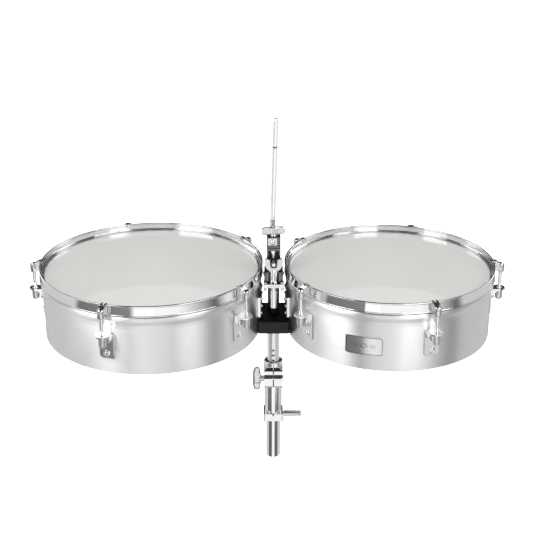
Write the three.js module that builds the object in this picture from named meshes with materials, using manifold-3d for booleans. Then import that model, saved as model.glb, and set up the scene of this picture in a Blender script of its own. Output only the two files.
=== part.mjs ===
// Timbales: two shallow open-bottomed drums, carried side by side on a stand head, with a rod holder
// between them. Millimetres, +Z up. The origin is the middle of the lower tube's bottom end face, +X runs
// to the smaller drum, and the player stands on the +Y side, so the badge faces -Y.
import * as THREE from "three";
import { mergeVertices } from "three/addons/utils/BufferGeometryUtils.js";
import Module from "manifold-3d";

const wasm = await Module();
wasm.setup();

// ---------------------------------------------------------------- driving dimensions
const GAP = 0.3; // left between pieces that touch or slide on each other
const HOOP_TOP_Z = 392; // upper edge of both counterhoops
const DRUMS = [
  { side: "left", centreX: -216, shellR: 191.6, towardsPole: 0, firstLug: 180 },
  { side: "right", centreX: 205, shellR: 180.4, towardsPole: 180, firstLug: 0 },
];
const LUGS_PER_DRUM = 5;
const DRUM_SIDES = 40; // facets round a drum

const SHELL_DEPTH = 116; // bearing edge to bottom edge
const SHELL_WALL = 1.5;
const BOTTOM_LIP = 5; // the bottom edge turns in this far
const COLLAR_OUT = 3.5; // how far the shoulder under the hoop stands out from the shell
const HOOP_OUT = 5.5; // how far the hoop's outside stands out from the shell
const HOOP_HEIGHT = 19.5;
const HOOP_WALL = 2.4;
const HEAD_DROP = 12.5; // hoop's top edge down to the playing surface
const FILM = 0.4;

const ROD_OUT = 12; // tension rod axis, out from the hoop
const ROD_R = 3.1;
const HOOK_BARREL_R = 6.8;
const LUG_SHELF_Z = 342;
const LUG_PLATE = { width: 25.6, bottom: 294.5, top: 340, thick: 2.5 };
const NUT_R = 6.15;
const NUT_LENGTH = 18;

const LOWER_TUBE_R = 12.7;
const POLE_R = 11.1;
const COLLAR_Z = [78.6, 94.6];
const CLAMP_Z = [94.9, 198];
const CLAMP_BOLT = { y: -22.5, z: 171 };
const BLOCK = { halfDepth: 43, bottom: 270, top: 292.5, frontHalf: 26 };
const PRONG_TOP = 352;
const BRACKET_Z = [300, 337];
const NECK_R = 10.25;
const SPIKE = { y: -19, r: 6.35, bottom: 304.5, top: 386 };
const TILT_Z = 400; // tilter hinge, along Y
const LEG_Z = 438.7; // accessory rod's level leg, along Y
const ROD = { r: 4.75, x: -2, y: 7, bend: 10, top: 652, lean: 1.44 };

// ---------------------------------------------------------------- solids
function solid(geometry) {
  const flat = geometry.clone();
  flat.deleteAttribute("normal");
  flat.deleteAttribute("uv");
  const merged = mergeVertices(flat, 1e-3);
  const kept = [];
  const corner = merged.index.array;
  for (let i = 0; i < corner.length; i += 3) {
    const [a, b, c] = [corner[i], corner[i + 1], corner[i + 2]];
    if (a !== b && b !== c && c !== a) kept.push(a, b, c);
  }
  const vertProperties = new Float32Array(merged.attributes.position.array);
  let triVerts = new Uint32Array(kept);
  if (signedVolume(vertProperties, triVerts) < 0) triVerts = triVerts.reverse();
  return new wasm.Manifold(new wasm.Mesh({ numProp: 3, vertProperties, triVerts }));
}

function signedVolume(points, corners) {
  const [a, b, c] = [new THREE.Vector3(), new THREE.Vector3(), new THREE.Vector3()];
  let sum = 0;
  for (let i = 0; i < corners.length; i += 3) {
    a.fromArray(points, 3 * corners[i]);
    b.fromArray(points, 3 * corners[i + 1]);
    c.fromArray(points, 3 * corners[i + 2]);
    sum += a.dot(b.cross(c));
  }
  return sum;
}

function geometryOf(body) {
  const { vertProperties, triVerts } = body.getMesh();
  const geometry = new THREE.BufferGeometry();
  geometry.setAttribute("position", new THREE.BufferAttribute(new Float32Array(vertProperties), 3));
  geometry.setIndex(new THREE.BufferAttribute(new Uint32Array(triVerts), 1));
  geometry.computeVertexNormals();
  return geometry;
}

function join(first, ...others) {
  return others.reduce((sum, other) => sum.add(other), first);
}

function cut(body, ...tools) {
  return tools.reduce((left, tool) => left.subtract(tool), body);
}

function box([x0, x1], [y0, y1], [z0, z1]) {
  const geometry = new THREE.BoxGeometry(x1 - x0, y1 - y0, z1 - z0);
  return solid(geometry.translate((x0 + x1) / 2, (y0 + y1) / 2, (z0 + z1) / 2));
}

// A round bar along Z, X or Y, from low to high, through the point given by the two other coordinates.
function barZ(r, [low, high], x = 0, y = 0, sides = 24) {
  const geometry = new THREE.CylinderGeometry(r, r, high - low, sides).rotateX(Math.PI / 2);
  return solid(geometry.translate(x, y, (low + high) / 2));
}

function barX(r, [low, high], y, z, sides = 16) {
  const geometry = new THREE.CylinderGeometry(r, r, high - low, sides).rotateZ(Math.PI / 2);
  return solid(geometry.translate((low + high) / 2, y, z));
}

function barY(r, [low, high], x, z, sides = 20) {
  const geometry = new THREE.CylinderGeometry(r, r, high - low, sides);
  return solid(geometry.translate(x, (low + high) / 2, z));
}

// A profile of [radius, z] points turned round the vertical line at x.
function turned(profile, sides, x = 0) {
  const points = profile.map(([r, z]) => new THREE.Vector2(r, z));
  const geometry = new THREE.LatheGeometry(points, sides).rotateX(Math.PI / 2);
  return solid(geometry.translate(x, 0, 0));
}

// An outline of [x, y] points raised from z0 to z1.
function raised(outline, [z0, z1]) {
  const shape = new THREE.Shape(outline.map(([x, y]) => new THREE.Vector2(x, y)));
  const geometry = new THREE.ExtrudeGeometry(shape, { depth: z1 - z0, bevelEnabled: false });
  return solid(geometry.translate(0, 0, z0));
}

// Part of a ring round a drum's axis, between two distances across (y) from the drums' common line.
function ringPart(drum, [rIn, rOut], [y0, y1], heights) {
  const facing = drum.towardsPole === 0 ? 1 : -1;
  const steps = 5;
  const inner = [];
  const outer = [];
  for (let i = 0; i <= steps; i++) {
    const y = y0 + ((y1 - y0) * i) / steps;
    inner.push([drum.centreX + facing * Math.sqrt(rIn * rIn - y * y), y]);
    outer.unshift([drum.centreX + facing * Math.sqrt(rOut * rOut - y * y), y]);
  }
  return raised([...inner, ...outer], heights);
}

// ---------------------------------------------------------------- materials
function finish(color, metalness, roughness) {
  return new THREE.MeshStandardMaterial({ color, metalness, roughness });
}
const brushedShell = finish(0xd6d6d8, 0.9, 0.38);
const chrome = finish(0xcfcfd1, 1, 0.08);
const headFilm = finish(0xdcdad8, 0, 0.35);
const hoopMetal = finish(0xb9b9bb, 0.9, 0.4);
const blackPaint = finish(0x1c1b1c, 0.2, 0.5);
const blackNylon = finish(0x242424, 0, 0.6);

const model = new THREE.Group();

function place(name, body, material, parent = model) {
  const mesh = new THREE.Mesh(geometryOf(body), material);
  mesh.name = name;
  parent.add(mesh);
}

// ---------------------------------------------------------------- drums
function shellBody(drum) {
  const top = HOOP_TOP_Z - HEAD_DROP - FILM - 0.1;
  const bottom = top - SHELL_DEPTH + 3;
  const shelf = HOOP_TOP_Z - HOOP_HEIGHT - GAP;
  const r = drum.shellR;
  const profile = [
    [r - 4.4, top],
    [r - 4.4, shelf - 1.6],
    [r + COLLAR_OUT, shelf - 2.4],
    [r + COLLAR_OUT, shelf - 12],
    [r, shelf - 22],
    [r, bottom],
    [r - BOTTOM_LIP, bottom],
    [r - BOTTOM_LIP, bottom + SHELL_WALL],
    [r - SHELL_WALL, bottom + SHELL_WALL],
    [r - SHELL_WALL, shelf - 22.5],
    [r + COLLAR_OUT - SHELL_WALL - 0.4, shelf - 12],
    [r + COLLAR_OUT - SHELL_WALL - 0.4, shelf - 4],
    [r - 6, shelf - 3.4],
    [r - 6, top],
  ];
  return turned([...profile, profile[0]], DRUM_SIDES, drum.centreX);
}

function filmBody(drum) {
  const top = HOOP_TOP_Z - HEAD_DROP;
  const r = drum.shellR;
  return turned([[0, top], [r - 3.6, top], [r - 3, top - 2.4], [r - 4, top - 2.4], [r - 4, top - FILM],
    [0, top - FILM]], DRUM_SIDES, drum.centreX);
}

function fleshHoopBody(drum) {
  const [rIn, rOut] = [drum.shellR - 2.7, drum.shellR + HOOP_OUT - HOOP_WALL - GAP];
  const [low, high] = [HOOP_TOP_Z - HOOP_HEIGHT + 0.8, HOOP_TOP_Z - HEAD_DROP];
  return turned([[rIn, low], [rOut, low], [rOut, high], [rIn, high], [rIn, low]], DRUM_SIDES, drum.centreX);
}

function hoopBody(drum) {
  const outer = drum.shellR + HOOP_OUT;
  const inner = outer - HOOP_WALL;
  const flangeLow = HOOP_TOP_Z - HEAD_DROP + GAP;
  const bottom = HOOP_TOP_Z - HOOP_HEIGHT;
  return turned([[outer, bottom], [outer, HOOP_TOP_Z], [inner, HOOP_TOP_Z], [inner, flangeLow + 1.8],
    [inner - 3.6, flangeLow + 1.8], [inner - 3.6, flangeLow], [inner, flangeLow], [inner, bottom],
    [outer, bottom]], DRUM_SIDES, drum.centreX);
}

// The chrome bracket on the pole side: a back plate on the shell and two loops that the stand's prongs enter.
const PRONG_Y = [23, 35];
const BACK_PLATE = 1;
const PRONG_THICK = 2;
const LOOP_WALL = 1.6;

function prongRadii(drum) {
  const rIn = drum.shellR + GAP + BACK_PLATE + GAP;
  return [rIn, rIn + PRONG_THICK];
}

function shellBracketBody(drum) {
  const backIn = drum.shellR + GAP;
  const [, prongOut] = prongRadii(drum);
  const loopOut = prongOut + GAP + LOOP_WALL;
  const plate = ringPart(drum, [backIn, backIn + BACK_PLATE], [-40, 40], BRACKET_Z);
  const loops = [-1, 1].map((way) => {
    const span = way < 0 ? [-PRONG_Y[1] - 2, -PRONG_Y[0] + 2] : [PRONG_Y[0] - 2, PRONG_Y[1] + 2];
    const pocket = way < 0 ? [-PRONG_Y[1] - GAP, -PRONG_Y[0] + GAP] : [PRONG_Y[0] - GAP, PRONG_Y[1] + GAP];
    const outside = ringPart(drum, [backIn + BACK_PLATE / 2, loopOut], span, BRACKET_Z);
    const radii = [backIn + BACK_PLATE, prongOut + GAP];
    return cut(outside, ringPart(drum, radii, pocket, [BRACKET_Z[0] - 1, BRACKET_Z[1] + 1]));
  });
  return join(plate, ...loops);
}

function badgeBody(drum) {
  const [half, thick] = [33, 0.9];
  const turn = (252 * Math.PI) / 180;
  const outline = [];
  for (const [r, ways] of [[drum.shellR + 0.2, 1], [drum.shellR + 0.2 + thick, -1]]) {
    for (let i = -3; i <= 3; i++) {
      const angle = turn + (ways * i * half) / 3 / drum.shellR;
      outline.push([drum.centreX + r * Math.cos(angle), r * Math.sin(angle)]);
    }
  }
  return raised(outline, [293.5, 327]);
}

// ---------------------------------------------------------------- lug stations
// Each is modelled with x pointing out of the drum, y along the hoop and x = 0 on the rod's axis.
function lugBracketBody() {
  const plateIn = -(ROD_OUT + HOOP_OUT) + GAP + 0.1;
  const plateOut = plateIn + LUG_PLATE.thick;
  const half = LUG_PLATE.width / 2;
  const plate = box([plateIn, plateOut], [-half, half], [LUG_PLATE.bottom, LUG_PLATE.top]);
  const shelf = raised([[plateIn, -10], [2, -12], [9.8, -6], [9.8, 6], [2, 12], [plateIn, 10]],
    [LUG_SHELF_Z - 3.5, LUG_SHELF_Z]);
  const boss = box([plateIn, -NUT_R - 1], [-6, 6], [LUG_SHELF_Z - 19, LUG_SHELF_Z - 1]);
  return cut(join(plate, shelf, boss), barZ(ROD_R + GAP, [LUG_SHELF_Z - 5, LUG_SHELF_Z + 1], 0, 0, 12));
}

function hookRodBody() {
  const top = HOOP_TOP_Z + 1.8;
  const hoopOuter = -ROD_OUT;
  const hoopInner = hoopOuter - HOOP_WALL;
  const barrel = barZ(HOOK_BARREL_R, [HOOP_TOP_Z - 20, HOOP_TOP_Z - 2.5], 0, 0, 12);
  const claw = box([hoopOuter + GAP, -2], [-8, 8], [HOOP_TOP_Z - 16, HOOP_TOP_Z]);
  const bridge = box([hoopInner - 3, -4], [-5, 5], [HOOP_TOP_Z + GAP, top]);
  const lip = box([hoopInner - 3, hoopInner - 3 * GAP], [-5, 5], [HOOP_TOP_Z - 6, top]);
  const web = box([hoopOuter + GAP, -4], [-5, 5], [HOOP_TOP_Z - 16, top]);
  const rod = barZ(ROD_R, [LUG_SHELF_Z - 21, HOOP_TOP_Z - 10], 0, 0, 10);
  return join(barrel, claw, web, bridge, lip, rod);
}

function nutBody() {
  const top = LUG_SHELF_Z - 3.5 - GAP;
  const hole = barZ(ROD_R + GAP, [top - NUT_LENGTH - 1, top + 1], 0, 0, 12);
  return cut(barZ(NUT_R, [top - NUT_LENGTH, top], 0, 0, 12), hole);
}

function addLugStations(drum) {
  for (let i = 0; i < LUGS_PER_DRUM; i++) {
    const angle = ((drum.firstLug + (360 / LUGS_PER_DRUM) * i) * Math.PI) / 180;
    const reach = drum.shellR + HOOP_OUT + ROD_OUT;
    const station = new THREE.Group();
    station.position.set(drum.centreX + reach * Math.cos(angle), reach * Math.sin(angle), 0);
    station.rotation.z = angle;
    place(`${drum.side}_lug_bracket_${i + 1}`, lugBracketBody(), chrome, station);
    place(`${drum.side}_hook_rod_${i + 1}`, hookRodBody(), chrome, station);
    place(`${drum.side}_tension_nut_${i + 1}`, nutBody(), chrome, station);
    model.add(station);
  }
}

function addDrum(drum) {
  place(`${drum.side}_shell`, shellBody(drum), brushedShell);
  place(`${drum.side}_head_film`, filmBody(drum), headFilm);
  place(`${drum.side}_flesh_hoop`, fleshHoopBody(drum), hoopMetal);
  place(`${drum.side}_counterhoop`, hoopBody(drum), chrome);
  place(`${drum.side}_shell_bracket`, shellBracketBody(drum), chrome);
  addLugStations(drum);
}

// ---------------------------------------------------------------- stand, from the bottom up
function addLowerTube() {
  const inner = LOWER_TUBE_R - 1.2;
  const top = 150;
  place("tube_end_plug", barZ(inner - GAP, [0, 14]), blackNylon);
  place("lower_tube", cut(barZ(LOWER_TUBE_R, [0, top]), barZ(inner, [-1, top + 1])), chrome);
}

function addMemoryLock() {
  const middle = (COLLAR_Z[0] + COLLAR_Z[1]) / 2;
  const around = barZ(LOWER_TUBE_R + GAP, [COLLAR_Z[0] - 1, COLLAR_Z[1] + 1]);
  const split = box([-1, 1], [-20, 0], [COLLAR_Z[0] - 1, COLLAR_Z[1] + 1]);
  const boltHole = barX(3.3, [8, 22], 0, middle, 12);
  place("memory_lock_collar", cut(barZ(18, COLLAR_Z), around, split, boltHole), chrome);
  const bolt = join(barX(3, [13.6, 19], 0, middle, 12), barX(4.7, [18.6, 52], 0, middle, 12));
  place("memory_lock_bolt", bolt, chrome);
}

function addHeightClamp() {
  const step = 150.3;
  const [low, high] = CLAMP_Z;
  const receiver = barZ(15.5, [low, 153]);
  const ring = barZ(17, [151, high]);
  const ears = box([-17, 17], [-28, 0], [152, 189]);
  const boltHole = barX(4.2, [-20, 20], CLAMP_BOLT.y, CLAMP_BOLT.z, 12);
  const tubeBore = barZ(LOWER_TUBE_R + GAP, [low - 1, step]);
  const bushBore = barZ(13.8, [step - 0.1, high + 1]);
  const slit = box([-1, 1], [-30, 0], [151, high + 1]);
  place("height_clamp", cut(join(receiver, ring, ears), tubeBore, bushBore, slit, boltHole), chrome);
  const bush = cut(barZ(13.5, [step, high]), barZ(POLE_R + GAP, [step - 1, high + 1]));
  place("clamp_bushing", bush, blackNylon);
  const { y, z } = CLAMP_BOLT;
  const shaft = barX(3.9, [-20, 16.5], y, z, 12);
  const neck = barX(5.5, [-24, -17.3], y, z, 16);
  const wings = box([-38, -22], [y - 4.5, y + 4.5], [z - 22.5, z + 22.5]);
  place("clamp_wing_bolt", join(shaft, neck, wings), chrome);
}

// The block's sides follow the two shells, and two curved prongs rise along each shell.
function blockOutline() {
  const steps = 8;
  const outline = [];
  for (const [drum, way] of [[DRUMS[1], 1], [DRUMS[0], -1]]) {
    const facing = drum.towardsPole === 0 ? 1 : -1;
    const radius = drum.shellR + 0.6;
    outline.push([way * BLOCK.frontHalf, -way * BLOCK.halfDepth]);
    for (let i = 0; i <= steps; i++) {
      const y = way * (BLOCK.halfDepth - 2) * ((2 * i) / steps - 1);
      outline.push([drum.centreX + facing * Math.sqrt(radius * radius - y * y), y]);
    }
    outline.push([way * BLOCK.frontHalf, way * BLOCK.halfDepth]);
  }
  return outline;
}

function addHead() {
  const block = raised(blockOutline(), [BLOCK.bottom, BLOCK.top]);
  const prongs = DRUMS.flatMap((drum) => [-1, 1].map((way) => {
    const span = way < 0 ? [-PRONG_Y[1], -PRONG_Y[0]] : PRONG_Y;
    return ringPart(drum, prongRadii(drum), span, [BLOCK.top - 8, PRONG_TOP]);
  }));
  const socket = barZ(POLE_R + GAP, [BLOCK.bottom - 1, BLOCK.top - 5]);
  place("head_block", cut(join(block, ...prongs), socket), blackPaint);
  const poleTop = BLOCK.top - 5 - GAP;
  place("pole", cut(barZ(POLE_R, [80, poleTop]), barZ(POLE_R - 1.5, [79, poleTop + 1])), chrome);
  place("neck_post", barZ(NECK_R, [BLOCK.top + GAP, 372]), blackPaint);
}

function addPostClamp() {
  const spikeHole = barZ(SPIKE.r + GAP, [350, 382], 0, SPIKE.y);
  const bar = box([-17.5, 18], [-31, -NECK_R - GAP], [352.5, 360]);
  const ends = [-14.6, 15.1].map((x) => barZ(2.7, [346, 362], x, -27, 12));
  place("cross_bar", cut(join(bar, ...ends), spikeHole), chrome);
  const body = box([-16.5, 16.5], [-23.5, 15], [360 + GAP, 379.5]);
  const opening = box([-7.4, 7.4], [-25, SPIKE.y], [359, 381]);
  const postHole = barZ(NECK_R + GAP, [359, 372 + GAP]);
  place("post_clamp", cut(body, spikeHole, opening, postHole), chrome);
}

function addSpikePost() {
  const { y, r, bottom, top } = SPIKE;
  const spike = turned([[0, bottom], [r, bottom + 7], [r, top], [0, top]], 20);
  place("spike_post", spike.translate([0, y, 0]), chrome);
}

// Two discs meet face to face on the hinge: the lower on the spike post, the upper under the rod block.
function addTilter() {
  const { y, r, top } = SPIKE;
  const socket = barZ(r + GAP, [375, top + GAP], 0, y);
  const neck = barZ(9, [379.8, 393], 0, y);
  const lowerDisc = barY(11, [y + 0.2, y + 9], 0, TILT_Z);
  const hingeBolt = barY(3, [y - 21, y + 12], 0, TILT_Z, 12);
  const clearUpper = barY(11.5 + GAP, [y - 10, y + 0.2], 0, TILT_Z, 24);
  const lower = join(cut(join(neck, lowerDisc), socket, clearUpper), hingeBolt);
  place("tilter_lower", lower, chrome);

  const upperDisc = barY(11, [y - 9, y - 0.1], 0, TILT_Z);
  const body = box([-12, 12], [y - 9, y - 0.1], [TILT_Z + 5, 427]);
  const cap = box([-12, 12], [y - 9, y + 9], [TILT_Z + 12, 427]);
  const boltHole = barY(3 + GAP, [y - 10, y + 1], 0, TILT_Z, 12);
  const pivot = barZ(4, [426, 431.5], 0, y, 12);
  place("tilter_upper", join(cut(join(upperDisc, body, cap), boltHole), pivot), chrome);

  const nutY = [y - 19, y - 11.5];
  const hub = barY(6, nutY, 0, TILT_Z);
  const wingSpan = [TILT_Z - 15, TILT_Z + 10.5];
  const opening = box([-6, 6], [y - 20, y - 10], [TILT_Z, TILT_Z + 12]);
  const wings = cut(box([-16.5, 16.5], nutY, wingSpan), opening);
  const corners = [-1, 1].map((way) => raised([[way * 11.5, -20], [way * 20, -20], [way * 20, -11]], [0, 20])
    .rotate([90, 0, 0]).translate([0, y - 5, TILT_Z]));
  const nutHole = barY(3 + GAP, [y - 22, y - 10], 0, TILT_Z, 12);
  place("tilter_wing_nut", cut(join(wings, hub), ...corners, nutHole), chrome);
}

function addRodBlock() {
  const { y } = SPIKE;
  const block = box([-12, 12], [y - 10, y + 10], [428, 447]);
  const pivotHole = barZ(4.3, [427, 432], 0, y, 12);
  const legHole = barY(ROD.r + GAP, [y - 12, y + 12], ROD.x, LEG_Z);
  const boltHole = barZ(3.3, [LEG_Z, 448], 0, y, 12);
  place("rod_block", cut(block, pivotHole, legHole, boltHole), chrome);
  const stem = barZ(3, [LEG_Z + ROD.r + GAP, 450], 0, y, 12);
  const neck = barZ(5.2, [447 + GAP, 452], 0, y, 12);
  const wings = box([-20.5, 20.5], [-3.5, 3.5], [450, 465]).rotate([0, 0, 25]).translate([0, y, 0]);
  place("rod_wing_bolt", join(stem, neck, wings), chrome);
}

// One bent rod: a level leg through the block, a quarter bend, and a long upright that leans a little.
function addAccessoryRod() {
  const path = new THREE.CurvePath();
  const bendStart = ROD.y - ROD.bend;
  const lowEnd = new THREE.Vector3(0, SPIKE.y - 10.6, LEG_Z);
  path.add(new THREE.LineCurve3(lowEnd, new THREE.Vector3(0, bendStart, LEG_Z)));
  const corner = new THREE.Vector3(0, ROD.y, LEG_Z);
  const bendEnd = new THREE.Vector3(0, ROD.y, LEG_Z + ROD.bend);
  path.add(new THREE.QuadraticBezierCurve3(new THREE.Vector3(0, bendStart, LEG_Z), corner, bendEnd));
  path.add(new THREE.LineCurve3(bendEnd, new THREE.Vector3(0, ROD.y, ROD.top)));
  const section = new THREE.Shape().absarc(0, 0, ROD.r, 0, 2 * Math.PI);
  const rod = solid(new THREE.ExtrudeGeometry(section, { steps: 20, curveSegments: 5, extrudePath: path }));
  const leaning = rod.translate([0, 0, -LEG_Z]).rotate([0, ROD.lean, 0]);
  place("accessory_rod", leaning.translate([ROD.x, 0, LEG_Z]), chrome);
}

DRUMS.forEach(addDrum);
place("badge", badgeBody(DRUMS[1]), chrome);
addLowerTube();
addMemoryLock();
addHeightClamp();
addHead();
addPostClamp();
addSpikePost();
addTilter();
addRodBlock();
addAccessoryRod();

export default model;
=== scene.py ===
"""The looks of a pair of timbales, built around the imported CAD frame. Blender 4.5, metres.

Pieces are modelled in millimetres in the row frame and scaled to metres when they become meshes.
"""

import math

import bmesh
import bpy
from mathutils import Matrix, Vector


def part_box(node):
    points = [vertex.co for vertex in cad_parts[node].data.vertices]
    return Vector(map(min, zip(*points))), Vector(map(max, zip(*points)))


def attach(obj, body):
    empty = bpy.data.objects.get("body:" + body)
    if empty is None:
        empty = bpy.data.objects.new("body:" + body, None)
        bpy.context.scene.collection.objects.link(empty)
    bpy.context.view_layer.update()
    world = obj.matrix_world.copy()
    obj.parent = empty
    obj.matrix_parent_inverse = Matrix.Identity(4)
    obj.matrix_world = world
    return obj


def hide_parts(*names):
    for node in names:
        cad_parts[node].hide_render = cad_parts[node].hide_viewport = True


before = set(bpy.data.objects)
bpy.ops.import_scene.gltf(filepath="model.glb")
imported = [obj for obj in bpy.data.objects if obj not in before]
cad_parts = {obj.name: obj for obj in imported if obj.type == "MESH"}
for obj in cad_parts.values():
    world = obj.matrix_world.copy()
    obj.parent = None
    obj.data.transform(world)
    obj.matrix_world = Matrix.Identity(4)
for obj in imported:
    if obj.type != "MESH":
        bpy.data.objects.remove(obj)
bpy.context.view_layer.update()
MM = 0.001
scene = bpy.context.scene


# ------------------------------------------------------------------ sizes, from the frame
def node_box(node):
    """A CAD node's low and high corner, in millimetres."""
    low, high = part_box(node)
    return low / MM, high / MM


def z_span(node):
    """A CAD node's lowest and highest z, in millimetres."""
    low, high = node_box(node)
    return low.z, high.z


class Drum:
    """The sizes of one drum that its pieces share, read from its CAD nodes."""

    def __init__(self, side, first_lug):
        low, high = node_box(f"{side}_counterhoop")
        shell_low, shell_high = node_box(f"{side}_shell")
        self.side = side
        self.x = (low.x + high.x) / 2
        self.hoop_r = (high.x - low.x) / 2
        self.hoop_top = high.z
        self.hoop_bottom = low.z
        self.collar_r = (shell_high.x - shell_low.x) / 2
        self.shell_r = self.collar_r - COLLAR_OUT
        self.shell_bottom = shell_low.z
        self.head_z = node_box(f"{side}_head_film")[1].z
        self.first_lug = first_lug
        self.body = f"{side}_drum"
        self.facing = 1 if self.x < 0 else -1

    def lug_angle(self, number):
        return math.radians(self.first_lug + 72 * (number - 1))


COLLAR_OUT = 3.5  # the shoulder under the hoop stands out this far
HOOP_WALL = 2.4
ROD_OUT = 12  # tension rod axis, out from the hoop
LEFT = Drum("left", 180)
RIGHT = Drum("right", 0)
DRUMS = (LEFT, RIGHT)
ROUND = 192  # sides of a drum


# ------------------------------------------------------------------ mesh helpers
def clean(bm):
    """Welds points that coincide and turns every face outwards."""
    bmesh.ops.remove_doubles(bm, verts=bm.verts, dist=1e-4)
    bmesh.ops.dissolve_degenerate(bm, edges=bm.edges, dist=1e-5)
    bmesh.ops.recalc_face_normals(bm, faces=bm.faces)
    return bm


def fillet(points, radii, steps=4, closed=True):
    """The outline with each corner rounded. radii is one number for all corners or one for each."""
    count = len(points)
    sizes = [radii] * count if isinstance(radii, (int, float)) else list(radii)
    result = []
    for i, point in enumerate(points):
        here = Vector(point)
        if sizes[i] <= 0 or (not closed and i in (0, count - 1)):
            result.append(tuple(here))
            continue
        before = Vector(points[i - 1]) - here
        after = Vector(points[(i + 1) % count]) - here
        half = before.angle(after) / 2
        if half > math.radians(88):
            result.append(tuple(here))
            continue
        reach = min(sizes[i] / math.tan(half), 0.49 * before.length, 0.49 * after.length)
        start = here + before.normalized() * reach
        end = here + after.normalized() * reach
        for k in range(steps + 1):
            t = k / steps
            result.append(tuple((1 - t) ** 2 * start + 2 * t * (1 - t) * here + t * t * end))
    return result


def lathe(profile, sides=48, closed=False):
    """A [radius, z] profile turned round the Z axis: closed, or starting and ending on the axis."""
    bm = bmesh.new()
    rings = []
    for radius, z in profile:
        if radius < 1e-6:
            rings.append([bm.verts.new((0, 0, z))])
            continue
        turn = [2 * math.pi * i / sides for i in range(sides)]
        rings.append([bm.verts.new((radius * math.cos(a), radius * math.sin(a), z)) for a in turn])
    pairs = list(zip(rings, rings[1:]))
    if closed:
        pairs.append((rings[-1], rings[0]))
    for low, high in pairs:
        for i in range(sides):
            j = (i + 1) % sides
            corners = [low[i % len(low)], low[j % len(low)], high[j % len(high)], high[i % len(high)]]
            unique = list(dict.fromkeys(corners))
            if len(unique) > 2:
                bm.faces.new(unique)
    return clean(bm)


def bevel(bm, size, segments=2, angle=30):
    """Rounds the edges that are sharper than angle, in degrees."""
    sharp = [e for e in bm.edges if len(e.link_faces) == 2 and e.calc_face_angle(0) > math.radians(angle)]
    if size > 0 and sharp:
        bmesh.ops.bevel(bm, geom=sharp, offset=size, segments=segments, profile=0.5, affect="EDGES",
                        clamp_overlap=True)
    return bm


def prism(outline, low, high, edge=0.4, segments=2, axis="Z"):
    """An outline raised from low to high, with rounded edges. For axis X it is (y, z), for Y it is (x, z)."""
    bm = bmesh.new()
    place = {
        "Z": lambda p, t: (p[0], p[1], t),
        "X": lambda p, t: (t, p[0], p[1]),
        "Y": lambda p, t: (p[0], t, p[1]),
    }[axis]
    bottom = bm.faces.new([bm.verts.new(place(p, low)) for p in outline])
    grown = bmesh.ops.extrude_face_region(bm, geom=[bottom])
    top = [v for v in grown["geom"] if isinstance(v, bmesh.types.BMVert)]
    step = Vector(place((0, 0), high)) - Vector(place((0, 0), low))
    bmesh.ops.translate(bm, verts=top, vec=step)
    return bevel(clean(bm), edge, segments)


def block(x, y, z, edge=0.4, segments=2):
    """A box with rounded edges. x, y and z are (low, high) pairs."""
    corners = [(x[0], y[0]), (x[1], y[0]), (x[1], y[1]), (x[0], y[1])]
    return prism(corners, z[0], z[1], edge, segments)


def turn_to(bm, axis):
    """Lays a piece turned round Z along X or Y."""
    turn = {"X": Matrix.Rotation(math.pi / 2, 4, "Y"), "Y": Matrix.Rotation(-math.pi / 2, 4, "X")}
    if axis in turn:
        bm.transform(turn[axis])
    return bm


def moved(bm, x=0, y=0, z=0):
    bm.transform(Matrix.Translation((x, y, z)))
    return bm


def shifted(bm, at, axis):
    """Moves a piece that lies along axis to the place at, given in the other two coordinates."""
    return moved(bm, *{"X": (0, at[0], at[1]), "Y": (at[0], 0, at[1]), "Z": (at[0], at[1], 0)}[axis])


def turned(points, radii, sides=40, steps=5):
    """A rounded profile that starts and ends on the axis, turned round the Z axis."""
    return lathe(fillet(points, radii, steps, closed=False), sides)


def bar(radius, low, high, edge=0.4, sides=48, at=(0, 0), axis="Z"):
    """A round bar with rounded ends from low to high along axis, through at in the other two coordinates."""
    edge = min(edge, radius * 0.95, (high - low) * 0.45)
    form = turned([(0, low), (radius, low), (radius, high), (0, high)], edge, sides, 4)
    return shifted(turn_to(form, axis), at, axis)


def hex_bar(across, low, high, at=(0, 0), axis="Z", edge=0.35):
    radius = across / math.sqrt(3)
    corners = [(radius * math.cos(k * math.pi / 3), radius * math.sin(k * math.pi / 3)) for k in range(6)]
    return shifted(turn_to(prism(corners, low, high, edge), axis), at, axis)


def skinned(bm, rings):
    """Faces between neighbouring rings of equal size, and a cap at each end."""
    for low, high in zip(rings, rings[1:]):
        for i, corner in enumerate(low):
            j = (i + 1) % len(low)
            bm.faces.new((corner, low[j], high[j], high[i]))
    bm.faces.new(list(reversed(rings[0])))
    bm.faces.new(rings[-1])
    return clean(bm)


def merged(*parts):
    """Several separate closed forms in one mesh, without cutting them."""
    result = bmesh.new()
    for part in parts:
        data = bpy.data.meshes.new("part")
        part.to_mesh(data)
        result.from_mesh(data)
        bpy.data.meshes.remove(data)
    return result


def combined(base, tools, operation):
    """base joined with, or cut by, each of the tools."""
    data = bpy.data.meshes.new("base")
    base.to_mesh(data)
    holder = bpy.data.objects.new("base", data)
    scene.collection.objects.link(holder)
    helpers = []
    for tool in tools:
        mesh = bpy.data.meshes.new("tool")
        tool.to_mesh(mesh)
        helper = bpy.data.objects.new("tool", mesh)
        scene.collection.objects.link(helper)
        helpers.append(helper)
        modifier = holder.modifiers.new("cut", "BOOLEAN")
        modifier.operation = operation
        modifier.solver = "EXACT"
        modifier.object = helper
    result = bmesh.new()
    result.from_mesh(holder.evaluated_get(bpy.context.evaluated_depsgraph_get()).to_mesh())
    for spare in [holder] + helpers:
        spare_mesh = spare.data
        bpy.data.objects.remove(spare)
        bpy.data.meshes.remove(spare_mesh)
    bmesh.ops.remove_doubles(result, verts=result.verts, dist=1e-3)
    bmesh.ops.dissolve_degenerate(result, edges=result.edges, dist=1e-3)
    return result


def joined(base, *tools):
    return combined(base, tools, "UNION")


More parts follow.
